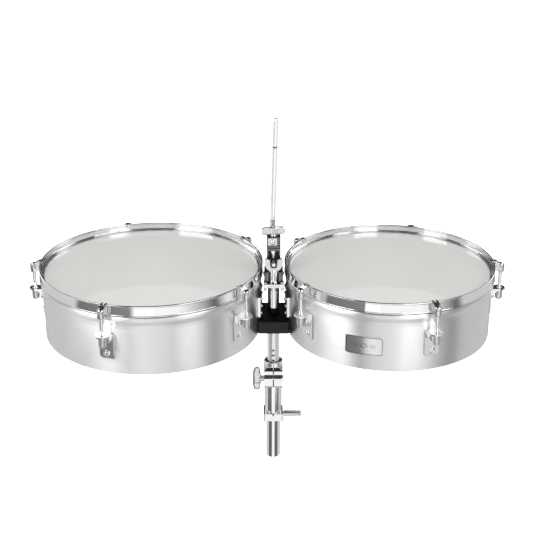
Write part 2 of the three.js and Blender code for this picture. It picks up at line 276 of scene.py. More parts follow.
def cut(base, *tools):
    return combined(base, tools, "DIFFERENCE")


def mesh_of(name, bm, angle=38):
    """The finished mesh, in metres, smooth except at edges sharper than angle."""
    bm.transform(Matrix.Scale(MM, 4))
    data = bpy.data.meshes.new(name)
    bm.to_mesh(data)
    bm.free()
    data.shade_smooth()
    data.set_sharp_from_angle(angle=math.radians(angle))
    return data


def weight_normals(piece):
    """Keeps the flat faces of a rounded solid flat in shading."""
    modifier = piece.modifiers.new("flat_faces", "WEIGHTED_NORMAL")
    modifier.keep_sharp = True
    modifier.weight = 90
    shaded = bpy.data.meshes.new_from_object(piece.evaluated_get(bpy.context.evaluated_depsgraph_get()))
    piece.modifiers.clear()
    piece.data = shaded


def add_piece(name, form, material, body, replaces=(), place=None, flat=True):
    """A visible piece: its form, its material, the body it rides on and the CAD nodes it stands for."""
    data = form if isinstance(form, bpy.types.Mesh) else mesh_of(name, form)
    piece = bpy.data.objects.new(name, data)
    scene.collection.objects.link(piece)
    if flat:
        weight_normals(piece)
        piece.data.name = name
    piece.data.materials.clear()
    piece.data.materials.append(material)
    if place is not None:
        piece.matrix_world = place
    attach(piece, body)
    if replaces:
        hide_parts(*replaces)


def drum_place(drum):
    return Matrix.Translation((drum.x * MM, 0, 0))


# ------------------------------------------------------------------ materials
class Nodes:
    """A small hand for building a node tree."""

    def __init__(self, tree):
        self.tree = tree

    def add(self, kind, inputs=None, **settings):
        node = self.tree.nodes.new(kind)
        for key, value in settings.items():
            setattr(node, key, value)
        for key, value in (inputs or {}).items():
            self.put(node.inputs[key], value)
        return node

    def put(self, socket, value):
        if isinstance(value, bpy.types.NodeSocket):
            self.tree.links.new(value, socket)
        else:
            socket.default_value = value

    def math(self, operation, a, b):
        return self.add("ShaderNodeMath", {0: a, 1: b}, operation=operation).outputs[0]

    def between(self, value, low, high, from_low=0.3, from_high=0.7):
        inputs = {"Value": value, "From Min": from_low, "From Max": from_high, "To Min": low, "To Max": high}
        return self.add("ShaderNodeMapRange", inputs).outputs[0]

    def mix(self, factor, first, second):
        return self.add("ShaderNodeMix", {0: factor, 6: first, 7: second}, data_type="RGBA").outputs[2]

    def ramp(self, value, stops):
        """A grey level that follows (position, level) stops."""
        node = self.add("ShaderNodeValToRGB", {0: value})
        elements = node.color_ramp.elements
        while len(elements) < len(stops):
            elements.new(0.5)
        for element, (position, level) in zip(elements, stops):
            element.position = position
            element.color = grey(level)
        return node.outputs[0]


class Surface(Nodes):
    """A material made of noise in the piece's own coordinates, and its shader's sockets."""

    SOCKETS = {"color": "Base Color", "metallic": "Metallic", "roughness": "Roughness", "normal": "Normal",
               "specular": "Specular IOR Level", "coat": "Coat Weight", "coat_rough": "Coat Roughness",
               "aniso": "Anisotropic", "aniso_turn": "Anisotropic Rotation", "tangent": "Tangent",
               "glow": "Emission Color", "glow_strength": "Emission Strength"}

    def __init__(self, name):
        self.material = bpy.data.materials.new(name)
        self.material.use_nodes = True
        super().__init__(self.material.node_tree)
        self.shader = self.tree.nodes["Principled BSDF"]

    def coords(self, scale=(1, 1, 1)):
        source = self.add("ShaderNodeTexCoord").outputs["Object"]
        return self.stretched(source, scale)

    def stretched(self, vector, scale):
        return self.add("ShaderNodeMapping", {"Vector": vector, "Scale": scale}).outputs[0]

    def noise(self, vector, scale, detail, roughness=0.55):
        inputs = {"Vector": vector, "Scale": scale, "Detail": detail, "Roughness": roughness}
        return self.add("ShaderNodeTexNoise", inputs).outputs["Fac"]

    def blend(self, first, second, share):
        """first times share, plus second times the rest."""
        return self.math("ADD", self.math("MULTIPLY", first, share), self.math("MULTIPLY", second, 1 - share))

    def bump(self, height, strength, distance, normal=None):
        inputs = {"Height": height, "Strength": strength, "Distance": distance}
        if normal is not None:
            inputs["Normal"] = normal
        return self.add("ShaderNodeBump", inputs).outputs[0]

    def set(self, **sockets):
        for key, value in sockets.items():
            self.put(self.shader.inputs[self.SOCKETS[key]], value)
        return self.material


def grey(level):
    return (level, level, level, 1)


def tinted(tone, *shares):
    """A colour whose red, green and blue are shares of one tone."""
    return (*(tone * share for share in shares), 1)


def chrome_material(name, tone, roughness=0.05, wear=0.05):
    """Polished plating: faint haze, fine polishing scratches and a slow ripple of the metal below."""
    n = Surface(name)
    coords = n.coords()
    haze = n.noise(coords, 38, 4)
    fine = n.noise(n.coords((1, 1, 6)), 900, 2)
    ripple = n.noise(coords, 120, 1)
    rough = n.math("ADD", n.between(haze, roughness * 0.7, roughness * 1.6), n.between(fine, 0, wear * 0.4))
    normal = n.bump(ripple, 0.05, 0.0004)
    normal = n.bump(fine, 0.03, 0.00005, normal)
    color = n.mix(haze, tinted(tone, 0.95, 0.95, 0.955), tinted(tone, 1.02, 1.02, 1.025))
    return n.set(color=color, metallic=1.0, roughness=rough, normal=normal)


def brushed_material(name, tone, roughness):
    """Spun metal: hair lines run round the piece, and the shine stretches across them."""
    n = Surface(name)
    place = n.add("ShaderNodeSeparateXYZ", {0: n.coords()})
    around = n.math("ARCTAN2", place.outputs["Y"], place.outputs["X"])
    lines = n.add("ShaderNodeCombineXYZ", {0: around, 1: place.outputs["Z"], 2: 0.0}).outputs[0]
    hair = n.noise(n.stretched(lines, (3, 2600, 1)), 1.0, 4, 0.7)
    broad = n.noise(n.stretched(lines, (2, 420, 1)), 1.0, 3, 0.6)
    clouds = n.noise(n.coords(), 14, 3)
    spun = n.blend(hair, broad, 0.65)
    rough = n.math("ADD", n.between(spun, roughness - 0.05, roughness + 0.07), n.between(clouds, 0, 0.03))
    normal = n.bump(spun, 0.10, 0.00008)
    tangent = n.add("ShaderNodeTangent", direction_type="RADIAL", axis="Z").outputs[0]
    color = n.mix(spun, tinted(tone, 0.955, 0.955, 0.96), tinted(tone, 1.03, 1.03, 1.03))
    return n.set(color=color, metallic=1.0, roughness=rough, normal=normal, aniso=0.88, aniso_turn=0.25,
                 tangent=tangent)


def satin_material(name, tone=0.72, roughness=0.24, metallic=1.0):
    """Fine satin metal without a direction, for inner faces, washers, wing bolts and blasted rods."""
    n = Surface(name)
    fine = n.noise(n.coords(), 1500, 3)
    clouds = n.noise(n.coords(), 60, 3)
    rough = n.between(n.blend(fine, clouds, 0.5), roughness - 0.05, roughness + 0.08)
    color = n.mix(clouds, grey(tone * 0.94), grey(tone * 1.04))
    return n.set(color=color, metallic=metallic, roughness=rough, normal=n.bump(fine, 0.06, 0.00005))


def film_material(name):
    """The hazy polyester head: a satin face that lets a little of the shell's inside through."""
    n = Surface(name)
    fine = n.noise(n.coords(), 2600, 2)
    clouds = n.noise(n.coords(), 9, 3)
    n.set(color=n.mix(clouds, (0.775, 0.765, 0.75, 1), (0.815, 0.805, 0.79, 1)), metallic=0.0,
          roughness=n.between(fine, 0.16, 0.24), normal=n.bump(fine, 0.05, 0.00004), specular=0.5, coat=0.6,
          coat_rough=0.03)
    clear = n.add("ShaderNodeBsdfTransparent", {"Color": (0.92, 0.92, 0.91, 1)}).outputs[0]
    face = n.add("ShaderNodeMixShader", {0: 0.24, 1: n.shader.outputs[0], 2: clear}).outputs[0]
    n.put(n.tree.nodes["Material Output"].inputs["Surface"], face)
    return n.material


def black_paint_material(name):
    """Satin black powder coat: an orange-peel skin with a few lighter rubs."""
    n = Surface(name)
    peel = n.noise(n.coords(), 900, 2)
    rubs = n.noise(n.coords((1, 1, 2.5)), 70, 4, 0.7)
    color = n.mix(n.between(rubs, 0, 1, 0.45, 0.8), (0.004, 0.0036, 0.0036, 1), (0.012, 0.011, 0.011, 1))
    return n.set(color=color, metallic=0.0, roughness=n.between(rubs, 0.34, 0.5),
                 normal=n.bump(peel, 0.16, 0.00012), specular=0.30)


def nylon_material(name):
    """Moulded black nylon with a fine grain."""
    n = Surface(name)
    grain = n.noise(n.coords(), 1300, 3)
    clouds = n.noise(n.coords(), 50, 2)
    color = n.mix(clouds, (0.035, 0.035, 0.036, 1), (0.0525, 0.0525, 0.054, 1))
    return n.set(color=color, metallic=0.0, roughness=n.between(grain, 0.42, 0.6),
                 normal=n.bump(grain, 0.15, 0.0001))


CHROME = chrome_material("chrome_plate", 0.92)
HOOP_CHROME = chrome_material("hoop_chrome", 0.94, 0.045, 0.04)
NUT_CHROME = chrome_material("cast_chrome", 0.90, 0.05, 0.05)
# The chrome below, at tone 0.2, is painted shade: its dark colour stands for the dark reflections of the
# drums and the gap between them that the middle of the stand sees.
CHROME_WITH_PAINTED_SHADE = chrome_material("chrome_with_painted_shade", 0.2, 0.06, 0.06)
# The chrome below, at tone 0.70, is toned down as painted shade: its grey stands for the darker reflections
# that the claws and tension nuts pick up.
CHROME_WITH_PAINTED_GREY_SHADE = chrome_material("chrome_with_painted_grey_shade", 0.70, 0.08, 0.08)
# The dark steel below is partly painted shade. On the collar's pin, the rod's knurl and the ring in the rod's
# groove, it stands for the shade in the split, between the threads and in the groove. It is also the hub of
# the tilter's nut and the rod's end dot.
DARK_STEEL_AND_PAINTED_SHADE = chrome_material("dark_steel_and_painted_shade", 0.22, 0.25, 0.15)
BRUSHED = brushed_material("brushed_shell", 0.88, 0.36)
SATIN = satin_material("satin_metal")
ROD_SATIN = satin_material("rod_satin", 0.90, 0.22, 0.65)
WING_SATIN = satin_material("wing_satin", 0.72, 0.2)
POLE_SATIN = satin_material("pole_satin", 0.86, 0.3, 0.85)
BADGE = satin_material("badge_metal", 0.74, 0.2)
ENGRAVED = satin_material("badge_engraving", 0.12, 0.4)
FILM = film_material("head_film")
BLACK = black_paint_material("black_paint")
NYLON = nylon_material("black_nylon")


# ------------------------------------------------------------------ camera, light and stage
FLOOR_Z = -0.85
PANEL_Z = 1.17  # the middle of the panels and of the shells' soft boxes
PANEL_HEIGHT = 1.25
PANELS = (  # name, x, y, width, light against 1 for white paper
    ("panel_left", -0.80, -0.50, 0.62, 1.3),
    ("panel_right", 0.60, -0.88, 0.50, 1.2),
    ("panel_back_left", -0.95, 0.75, 0.60, 0.5),
    ("panel_back_right", 0.95, 0.75, 0.60, 0.5),
)

# What metal sees of the studio: (bearing in degrees, level), with 0 at the camera's side and 90 at the right.
FLOOR_LEVELS = (
    (-180, 0.10), (-156, 0.12), (-140, 0.60), (-80, 0.66), (-74, 0.18), (-18, 0.24), (-13, 1.0), (30, 1.0),
    (40, 0.80), (50, 0.60), (70, 0.14), (74, 0.18), (82, 0.62), (140, 0.60), (156, 0.12), (180, 0.10),
)
NEAR_FLOOR_LEVELS = (
    (-180, 0.10), (-156, 0.12), (-140, 0.60), (-86, 0.72), (-72, 0.10), (-24, 0.15), (-20, 1.0), (20, 1.0),
    (24, 0.15), (72, 0.12), (86, 0.70), (140, 0.60), (156, 0.12), (180, 0.10),
)
UNDERFOOT_LEVEL = 0.45
ROOM_LEVEL = 0.05

SHELL_LIGHTS = (  # name, x, y, width, watts
    ("shell_light_left", -0.73, -0.55, 0.66, 18.0),
    ("shell_light_right", 0.59, -0.87, 0.50, 5.0),
)


def add_camera():
    """The picture's viewpoint: two metres in front of the drums, looking down on them."""
    data = bpy.data.cameras.new("camera")
    camera = bpy.data.objects.new("camera", data)
    scene.collection.objects.link(camera)
    camera.location = (-0.0125, -1.9485, 1.1838)
    camera.rotation_euler = (math.radians(90 - 20.5), 0, 0)
    data.lens = 80.2
    data.sensor_width = 36
    data.shift_y = -0.0733
    data.clip_end = 100
    scene.camera = camera


def stage_sheet(name, size, place, tone, strength, glossy_only):
    """A flat sheet of the studio. A glossy_only sheet is seen only in reflections."""
    bm = bmesh.new()
    bmesh.ops.create_grid(bm, x_segments=1, y_segments=1, size=0.5)
    data = bpy.data.meshes.new(name)
    bm.to_mesh(data)
    bm.free()
    sheet = bpy.data.objects.new(name, data)
    scene.collection.objects.link(sheet)
    sheet.matrix_world = place @ Matrix.Diagonal((size[0], size[1], 1, 1))
    look = Surface(name)
    look.set(color=grey(tone), roughness=0.9, specular=0.0, glow=grey(tone), glow_strength=strength)
    data.materials.append(look.material)
    if glossy_only:
        sheet.visible_camera = False
        sheet.visible_diffuse = False
        sheet.visible_shadow = False
        sheet.visible_transmission = False
    return sheet


def add_floor():
    floor = stage_sheet("floor", (40, 40), Matrix.Translation((0, 0, FLOOR_Z)), 0.9, 0.95, False)
    floor.visible_glossy = False
    floor.visible_shadow = False


def facing_centre(x, y, z):
    """A card's place at (x, y, z), turned to face the pole."""
    away = Vector((x, y, 0))
    return Matrix.Translation((x, y, z)) @ away.to_track_quat("Z", "Y").to_matrix().to_4x4()


def add_panels():
    """Lit panels standing round the drums above their heads, seen only in the metal and the film's gloss."""
    for name, x, y, width, light in PANELS:
        stage_sheet(name, (width, PANEL_HEIGHT), facing_centre(x, y, PANEL_Z), 1, light, True)
    low_card = Matrix.Translation((-0.28, -1.25, -0.17)) @ Matrix.Rotation(math.pi / 2, 4, "X")
    stage_sheet("card_front", (0.38, 0.84), low_card, 0.78, 0.0, True)


def level_round(n, turn, levels):
    """A grey level that follows (bearing in degrees, level) stops round the horizon."""
    return n.ramp(turn, [((bearing + 180) / 360, level) for bearing, level in levels])


def add_world():
    """White light all round. Metal sees a studio: white paper in front and below, darker floor beside it,
    and a dark room above the horizon."""
    world = bpy.data.worlds.new("studio")
    scene.world = world
    world.use_nodes = True
    n = Nodes(world.node_tree)
    direction = n.add("ShaderNodeTexCoord").outputs["Generated"]
    split = n.add("ShaderNodeSeparateXYZ", {0: direction}).outputs
    bearing = n.math("ARCTAN2", split["X"], n.math("MULTIPLY", split["Y"], -1))
    turn = n.between(bearing, 0, 1, -math.pi, math.pi)
    height = n.between(split["Z"], 0, 1, -1, 1)
    underfoot = n.ramp(height, ((0.0, 1.0), (0.07, 1.0), (0.16, 0.0)))
    near = n.ramp(height, ((0.0, 1.0), (0.255, 1.0), (0.268, 0.0)))
    above = n.ramp(height, ((0.0, 0.0), (0.62, 0.0), (0.66, 1.0)))
    around = n.mix(near, level_round(n, turn, FLOOR_LEVELS), level_round(n, turn, NEAR_FLOOR_LEVELS))
    room = n.mix(above, n.mix(underfoot, around, grey(UNDERFOOT_LEVEL)), grey(ROOM_LEVEL))
    is_glossy = n.add("ShaderNodeLightPath").outputs["Is Glossy Ray"]
    n.put(n.tree.nodes["Background"].inputs["Color"], n.mix(is_glossy, grey(1), room))


def add_lamp(name, location, size, power):
    data = bpy.data.lights.new(name, "AREA")
    data.shape = "RECTANGLE"
    data.size, data.size_y = size
    data.energy = power
    lamp = bpy.data.objects.new(name, data)
    scene.collection.objects.link(lamp)
    lamp.location = location
    lamp.rotation_euler = (Vector((0, 0, 0.3)) - Vector(location)).to_track_quat("-Z", "Y").to_euler()
    lamp.visible_camera = False
    return lamp


def add_shell_lights():
    """Two soft boxes in front of the panels that light only the brushed shells."""
    shells = bpy.data.collections.new("shells")
    for drum in DRUMS:
        shells.objects.link(bpy.data.objects[f"{drum.side}_shell_fine"])
    for name, x, y, width, power in SHELL_LIGHTS:
        lamp = add_lamp(name, (x, y, PANEL_Z), (width, PANEL_HEIGHT), power)
        lamp.matrix_world = facing_centre(x, y, PANEL_Z)
        lamp.light_linking.receiver_collection = shells


def build_studio():
    scene.view_settings.view_transform = "Standard"
    add_camera()
    add_world()
    add_floor()
    add_panels()
    add_lamp("key_left", (-1.7, -1.3, 2.2), (0.9, 0.9), 14)
    add_lamp("fill_right", (1.8, -1.0, 2.0), (0.9, 0.9), 9)


# ------------------------------------------------------------------ drums
def shell_mesh(drum):
    """Spun shell: bearing edge, shelf under the hoop, rounded shoulder, straight wall, turned-in bottom."""
    r, bottom, top = drum.shell_r, drum.shell_bottom, drum.head_z - 0.6
    shelf = drum.hoop_bottom - 0.3
    wall = 1.5
    outside = [(r - 5.9, top), (r - 4.4, top - 0.8), (r - 4.4, shelf - 1.6), (r + COLLAR_OUT, shelf - 1.6),
               (r + COLLAR_OUT, shelf - 9), (r + 0.6, shelf - 17), (r, shelf - 24), (r, bottom),
               (r - 5, bottom)]
    inside = [(r - 5, bottom + 1.2), (r - wall, bottom + 2.2), (r - wall, shelf - 24.4),
              (r - wall + 0.6, shelf - 17.5), (r + COLLAR_OUT - wall, shelf - 9.6),
              (r + COLLAR_OUT - wall, shelf - 3.2), (r - 6, shelf - 3.2), (r - 6.2, top - 0.6)]
    radii = [0.5, 1.0, 0.8, 2.4, 4, 9, 14, 2.2, 0.5, 0.5, 1.2, 12, 9, 4, 1.8, 1.6, 0.5]
    profile = fillet(outside + inside, radii, 7)
    return mesh_of(f"{drum.side}_shell", lathe(profile, ROUND, closed=True))


def film_mesh(drum):
    """The film lies flat, rolls over the bearing edge and drops to the flesh hoop."""
    r, top = drum.shell_r, drum.head_z
    flat = [0, r * 0.25, r * 0.5, r * 0.75, r - 8]
    profile = [(reach, top) for reach in flat]
    profile += [(r - 3.9, top - 0.1), (r - 3.05, top - 1.0), (r - 2.95, top - 2.4), (r - 3.3, top - 2.4),
                (r - 3.4, top - 1.1), (r - 4.1, top - 0.45)]
    profile += [(reach, top - 0.35) for reach in reversed(flat)]
    return mesh_of(f"{drum.side}_head_film", lathe(profile, ROUND), 60)


def flesh_hoop_mesh(drum):
    low, high = node_box(f"{drum.side}_flesh_hoop")
    outer = (high.x - low.x) / 2
    inner = drum.shell_r - 2.6
    corners = [(inner, low.z), (outer, low.z), (outer, high.z), (inner, high.z)]
    return mesh_of(f"{drum.side}_flesh_hoop", lathe(fillet(corners, 0.9), ROUND, closed=True))


def hoop_mesh(drum):
    """Flat strap hoop: rolled top edge, small foot, and the inner flange that bears on the flesh hoop."""
    outer, top, bottom = drum.hoop_r, drum.hoop_top, drum.hoop_bottom
    inner = outer - HOOP_WALL
    flange = drum.head_z + 0.3
    corners = [(outer, bottom), (outer, bottom + 1.7), (outer - 0.5, bottom + 2.2), (outer - 0.5, top - 3.0),
               (outer, top - 2.2), (outer, top), (inner - 0.7, top), (inner - 0.7, top - 2.4),
               (inner, top - 3.2), (inner, flange + 1.1), (inner - 2.6, flange + 1.1), (inner - 2.6, flange),
               (inner, flange), (inner, bottom)]
    radii = [0.7, 0.6, 0.6, 0.6, 0.6, 1.2, 1.2, 0.7, 0.6, 1.0, 0.5, 0.4, 0.3, 0.5]
    return mesh_of(f"{drum.side}_counterhoop", lathe(fillet(corners, radii, 5), ROUND, closed=True))


def add_drum(drum):
    """Shell, head film, flesh hoop and counterhoop."""
    place = drum_place(drum)
    pieces = (("shell", shell_mesh, BRUSHED, "brushed_shell"), ("head_film", film_mesh, FILM, "head_film"),
              ("flesh_hoop", flesh_hoop_mesh, SATIN, "hoop_channel"),
              ("counterhoop", hoop_mesh, HOOP_CHROME, "chrome"))
    for kind, build, material, slot in pieces:
        name = f"{drum.side}_{kind}"
        add_piece(f"{name}_fine", build(drum), material, drum.body, [name], place, flat=False)


# ------------------------------------------------------------------ lug stations
# Modelled with x pointing out of the drum, x = 0 on the rod's axis and y along the hoop.
LUG_SHELF_Z = node_box("left_lug_bracket_1")[1].z
LUG_PLATE_LOW = node_box("left_lug_bracket_1")[0].z
NUT_LOW, NUT_HIGH = z_span("left_tension_nut_1")
ROD_LOW = node_box("left_hook_rod_1")[0].z
ROD_R = 3.1
BARREL_R = 6.75
PLATE_HALF = 12.8


def wrap(bm, radius, step=1.5):
    """Bends a flat piece round the Z axis: x is the height over radius, and y becomes a length of arc."""
    ys = [v.co.y for v in bm.verts]
    at = min(ys) + step
    while at < max(ys) - 0.2:
        geometry = bm.verts[:] + bm.edges[:] + bm.faces[:]
        bmesh.ops.bisect_plane(bm, geom=geometry, dist=1e-4, plane_co=(0, at, 0), plane_no=(0, 1, 0))
        at += step
    for v in bm.verts:
        reach, turn = radius + v.co.x, v.co.y / radius
        v.co.x, v.co.y = reach * math.cos(turn), reach * math.sin(turn)
    return bm


def rounded_rectangle(y, z, radius, steps=6):
    return fillet([(y[0], z[0]), (y[1], z[0]), (y[1], z[1]), (y[0], z[1])], radius, steps)


def screw_head(radius, height):
    """A pan head with a cross recess, its back on the plane x = 0 and its top towards +x."""
    outline = [(0, 0), (radius, 0), (radius * 0.94, height * 0.55), (radius * 0.55, height), (0, height)]
    head = turned(outline, [0, 0.15, 0.8, 1.2, 0], 32, 4)
    half, arm = radius * 0.13, radius * 0.52
    deep = (height - 0.8, height + 1)
    head = cut(head, block((-half, half), (-arm, arm), deep, 0), block((-arm, arm), (-half, half), deep, 0))
    return turn_to(head, "X")


def ringed_screw():
    """A dished washer with a domed screw in it, its back on the plane x = 0."""
    outline = [(0, 0), (6.2, 0), (5.9, 1.1), (4.6, 1.5), (3.9, 0.9), (3.6, 0.9), (3.4, 2.4), (2.4, 3.1),
               (1.6, 3.1), (1.3, 1.6), (0, 1.6)]
    return turn_to(turned(outline, [0, 0.2, 0.5, 0.5, 0.2, 0.2, 0.7, 0.6, 0.3, 0.1, 0], 40, 4), "X")


def lug_bracket_parts(drum):
    """Backing plate on the shell, front plate, shelf with pointed corners, and the boss behind the nut."""
    back = -(ROD_OUT + drum.hoop_r - drum.shell_r)
    low = LUG_PLATE_LOW
    wide = PLATE_HALF + 0.9
    backing = prism(rounded_rectangle((-wide, wide), (low - 1, LUG_SHELF_Z - 1), 4), 0.15, 1.1, 0.3, axis="X")
    backing = moved(wrap(backing, drum.shell_r), x=back - drum.shell_r)
    plate = rounded_rectangle((-PLATE_HALF, PLATE_HALF), (low, LUG_SHELF_Z - 2), 4.5)
    plate = prism(plate, back + 1.1, back + 3, 0.55, 3, "X")
    side = [(back + 2, -9.5), (-5.5, -10.5), (0.5, -12.4), (4.4, -10.2), (9.9, -6.0)]
    shelf = fillet(side + [(x, -y) for x, y in reversed(side)], [0.5, 3, 0.9, 3, 4, 4, 3, 0.9, 3, 0.5], 4)
    shelf = prism(shelf, LUG_SHELF_Z - 3.2, LUG_SHELF_Z, 0.7, 3)
    boss_low, boss_high = NUT_LOW + 1, LUG_SHELF_Z - 1
    boss = turned([(0, boss_low), (5.4, boss_low), (6.2, boss_high), (0, boss_high)], [0, 4.2, 0.6, 0], 40, 6)
    boss = moved(boss, x=back + 3.6)
    web = [(back + 2, LUG_SHELF_Z - 18), (back + 2, LUG_SHELF_Z - 2), (-2, LUG_SHELF_Z - 2)]
    web = prism(fillet(web, 0.5), -8.4, 8.4, 0.5, axis="Y")
    room = bar(7.2, NUT_LOW - 2, LUG_SHELF_Z - 3.3, 0.1, 40)
    cast = joined(plate, cut(joined(web, boss), room), shelf)
    cast = cut(cast, bar(ROD_R + 0.25, LUG_SHELF_Z - 6, LUG_SHELF_Z + 2, 0.05, 32))
    ferrule = lathe(fillet([(ROD_R + 0.35, LUG_SHELF_Z), (5.1, LUG_SHELF_Z), (4.7, LUG_SHELF_Z + 0.9),
                            (ROD_R + 0.35, LUG_SHELF_Z + 0.9)], 0.25), 32, closed=True)
    return backing, cast, ferrule


def claw_form(drum):
    """Hook over the hoop with a slotted top, a pad that lies on the hoop, and the barrel round the rod."""
    top = drum.hoop_top
    inner = -ROD_OUT - HOOP_WALL
    strap_top = top + 1.3
    face = -ROD_OUT + 0.25
    side = [(inner - 2.8, top - 5.5), (inner - 0.9, top - 5.5), (inner - 0.9, top + 0.35), (face, top + 0.35),
            (face, top - 16.5), (-5, top - 18), (0, top - 18), (0, top - 4.5), (-5.5, top - 1.2),
            (-9, strap_top), (inner - 2.8, strap_top)]
    arch = prism(fillet(side, [0.8, 0.8, 0.6, 0.8, 1.2, 3, 0.5, 1.5, 3, 3, 1.4]), -5.2, 5.2, 0.7, 3, "Y")
    slot = block((inner - 6, -7.0), (-2.0, 2.0), (top - 7, top + 5), 0.2)
    pad = prism(rounded_rectangle((-9.8, 9.8), (top - 16, top - 1.2), 4), 0.25, 2.6, 0.9, 3, "X")
    pad = moved(wrap(pad, drum.hoop_r), x=-ROD_OUT - drum.hoop_r)
    drops = [(0, 19.6), (BARREL_R - 1.2, 19.6), (BARREL_R, 18), (BARREL_R, 9.2), (BARREL_R - 0.7, 8.6),
             (BARREL_R - 0.7, 7.9), (BARREL_R, 7.3), (BARREL_R, 5.2), (BARREL_R - 1.6, 3.2), (2.0, 2.5),
             (0, 2.5)]
    radii = [0, 0.5, 0.8, 0.3, 0.2, 0.2, 0.3, 1.0, 1.2, 1.0, 0]
    barrel = turned([(reach, top - drop) for reach, drop in drops], radii, 48)
    return joined(cut(arch, slot), pad, barrel)


def threaded_rod(radius, low, high, thread_low, thread_high, pitch=1.0, sides=28):
    """A rod with a real helical thread between two heights and a plain round length above it."""
    bm = bmesh.new()
    rings = []
    depth = 0.38
    rows = max(8, int((thread_high - thread_low) / pitch * 4))
    heights = [low, low + 0.6] + [thread_low + (thread_high - thread_low) * i / rows for i in range(rows + 1)]
    heights += [thread_high + 0.8, high]
    for z in heights:
        ring = []
        for i in range(sides):
            angle = 2 * math.pi * i / sides
            inside = thread_low < z < thread_high
            wave = 0.5 + 0.5 * math.cos(2 * math.pi * (z / pitch - i / sides))
            reach = radius - (depth * wave if inside else 0.0) - (0.5 if z == low else 0.0)
            ring.append(bm.verts.new((reach * math.cos(angle), reach * math.sin(angle), z)))
        rings.append(ring)
    return skinned(bm, rings)


def nut_profile_mesh():
    """Ringed tension nut: a collar at the top, turned rings down its barrel and a rounded end."""
    low, high = NUT_LOW, NUT_HIGH
    outer, waist = 6.7, 5.8
    points = [(ROD_R + 0.3, low + 0.8), (4.4, low), (5.2, low + 0.5), (outer - 0.1, low + 2.6)]
    radii = [0.2, 0.5, 1.2, 0.5]
    rings = 4
    pitch = (high - low - 6.2) / rings
    for i in range(rings):
        z = low + 2.9 + pitch * i
        points += [(outer, z), (outer, z + pitch * 0.58)]
        points += [(waist, z + pitch * 0.66), (waist, z + pitch * 0.92)]
        radii += [0.25, 0.25, 0.2, 0.2]
    points += [(outer, high - 2.8), (outer, high - 0.5), (outer - 0.6, high), (ROD_R + 0.3, high)]
    radii += [0.3, 0.3, 0.3, 0.2]
    return lathe(fillet(points, radii, 3), 40, closed=True)


def add_lug_stations(drum):
    """One set of meshes for a lug station, placed five times round the drum."""
    backing, cast, ferrule = lug_bracket_parts(drum)
    side = drum.side
    back = -(ROD_OUT + drum.hoop_r - drum.shell_r)
    head = moved(ringed_screw(), x=back + 3.0, z=LUG_PLATE_LOW + 8.2)
    inner_wall = back - 1.5
    inner_parts = []
    for z in (LUG_PLATE_LOW + 7.6, LUG_SHELF_Z - 12):
        washer = bar(6, inner_wall - 1.2, inner_wall - 0.35, 0.3, 32, (0, z), "X")
        inner_parts += [washer, hex_bar(8, inner_wall - 4.6, inner_wall - 1.1, (0, z), "X")]
    rod = threaded_rod(ROD_R, ROD_LOW, drum.hoop_top - 19, ROD_LOW + 0.6, LUG_SHELF_Z + 9)
    # The claw and the ringed nut take the grey chrome, whose toned-down colour is painted shade.
    meshes = (
        ("backing_plate", mesh_of(f"{side}_lug_backing", backing), SATIN, ()),
        ("bracket_cast", mesh_of(f"{side}_lug_cast", cast), NUT_CHROME, ("lug_bracket",)),
        ("bracket_ferrule", mesh_of(f"{side}_lug_ferrule", ferrule), CHROME, ()),
        ("bracket_screw", mesh_of(f"{side}_lug_screw", head), CHROME, ()),
        ("inner_nuts", mesh_of(f"{side}_lug_inner_nuts", merged(*inner_parts)), SATIN, ()),
        ("claw", mesh_of(f"{side}_claw", claw_form(drum)), CHROME_WITH_PAINTED_GREY_SHADE, ("hook_rod",)),
        ("tension_rod", mesh_of(f"{side}_tension_rod", rod, 60), CHROME, ()),
        ("nut_ringed", mesh_of(f"{side}_nut", nut_profile_mesh()), CHROME_WITH_PAINTED_GREY_SHADE, ("tension_nut",)),
    )
    for number in range(1, 6):
        angle = drum.lug_angle(number)
        reach = drum.hoop_r + ROD_OUT
        at = Matrix.Translation(((drum.x + reach * math.cos(angle)) * MM, reach * math.sin(angle) * MM, 0))
        place = at @ Matrix.Rotation(angle, 4, "Z")
        for kind, data, material, stands_for in meshes:
            body = f"{side}_nut_{number}" if kind == "nut_ringed" else drum.body
            nodes = [f"{side}_{node}_{number}" for node in stands_for]
            add_piece(f"{side}_{kind}_{number}", data.copy(), material, body, nodes, place)


# ------------------------------------------------------------------ pole side of the drums
BRACKET_LOW, BRACKET_HIGH = z_span("left_shell_bracket")


def shell_bracket_mesh(drum):
    """A back plate on the shell with two raised loops that the head's prongs enter."""
    low, high = BRACKET_LOW, BRACKET_HIGH
    body = prism(rounded_rectangle((-40, 40), (low, high), 5), 0.3, 1.3, 0.25, axis="X")
    for way in (-1, 1):
        side = [(0.9, 20.4), (5.4, 21), (5.4, 37), (0.9, 37.8), (0.9, 35.3), (3.9, 35.3), (3.9, 22.7),
                (0.9, 22.7)]
        loop = fillet([(x, way * y) for x, y in side], [0.3, 1.8, 1.8, 0.3, 0.2, 0.7, 0.7, 0.2])
        body = joined(body, prism(loop, low + 0.01, high - 0.01, 0.35))
    return wrap(body, drum.shell_r, 2.0)


